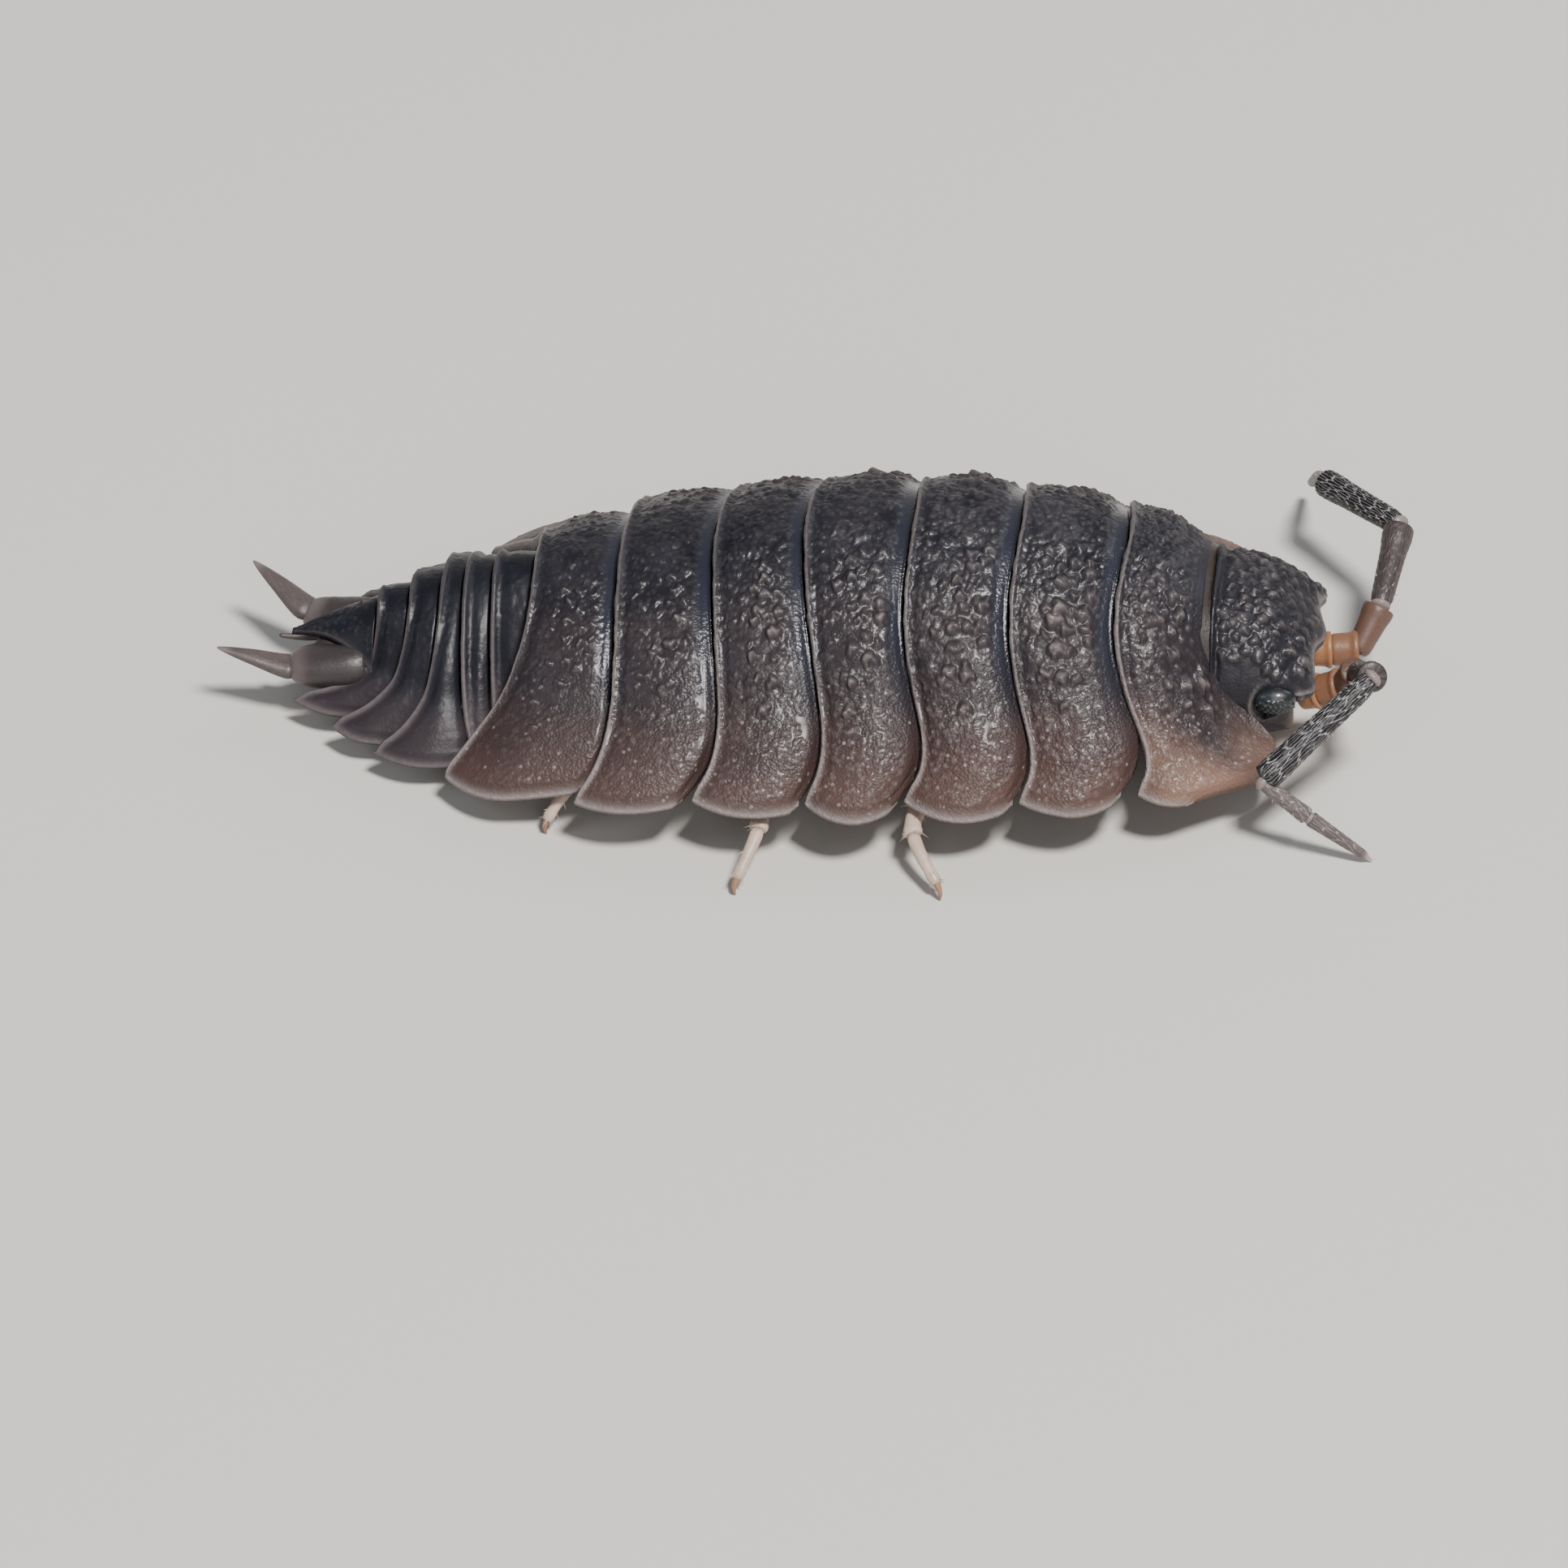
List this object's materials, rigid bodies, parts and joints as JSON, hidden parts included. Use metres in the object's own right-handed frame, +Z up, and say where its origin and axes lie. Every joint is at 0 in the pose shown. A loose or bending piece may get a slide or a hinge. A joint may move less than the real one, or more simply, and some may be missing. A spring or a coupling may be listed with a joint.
{
  "type": "woodlouse model",
  "caption": "Life-size still model of a common rough woodlouse: arched overlapping back plates, bent feelers, short legs, tail plate with forked tail limbs.",
  "frame": {"origin": "bottom centre of the model's bounding box, on the ground it stands on", "axes": "+X along the body towards the head, +Z up from the ground, +Y to the animal's left"},
  "size_m": [0.0172, 0.0098, 0.0037],
  "materials": {
    "shell": "rough waxy shell, satin",
    "eye": "glossy",
    "leg": "thin pale shell, satin",
    "uropod": "thin pale shell, satin",
    "feeler_base": "thin orange-brown shell, satin",
    "feeler_fifth": "ribbed and bristled, dull",
    "feeler_lash": "bristled, dull",
    "underside": "soft pale skin, satin"
  },
  "bodies": {
    "root": {"antenna_left_base": "feeler_base", "antenna_left_fifth": "feeler_fifth", "antenna_left_lash": "feeler_lash", "antenna_right_base": "feeler_base", "antenna_right_fifth": "feeler_fifth", "antenna_right_lash": "feeler_lash", "eye_left": "eye", "eye_right": "eye", "head": "shell", "leg_left_1": "leg", "leg_left_2": "leg", "leg_left_3": "leg", "leg_left_4": "leg", "leg_left_5": "leg", "leg_left_6": "leg", "leg_left_7": "leg", "leg_right_1": "leg", "leg_right_2": "leg", "leg_right_3": "leg", "leg_right_4": "leg", "leg_right_5": "leg", "leg_right_6": "leg", "leg_right_7": "leg", "mouthparts": "underside", "pereonite_1": "shell", "pereonite_2": "shell", "pereonite_3": "shell", "pereonite_4": "shell", "pereonite_5": "shell", "pereonite_6": "shell", "pereonite_7": "shell", "pleonite_1": "shell", "pleonite_2": "shell", "pleonite_3": "shell", "pleonite_4": "shell", "pleonite_5": "shell", "pleopods_left": "underside", "pleopods_right": "underside", "telson": "shell", "uropod_left": "uropod", "uropod_right": "uropod"}
  },
  "joints": []
}
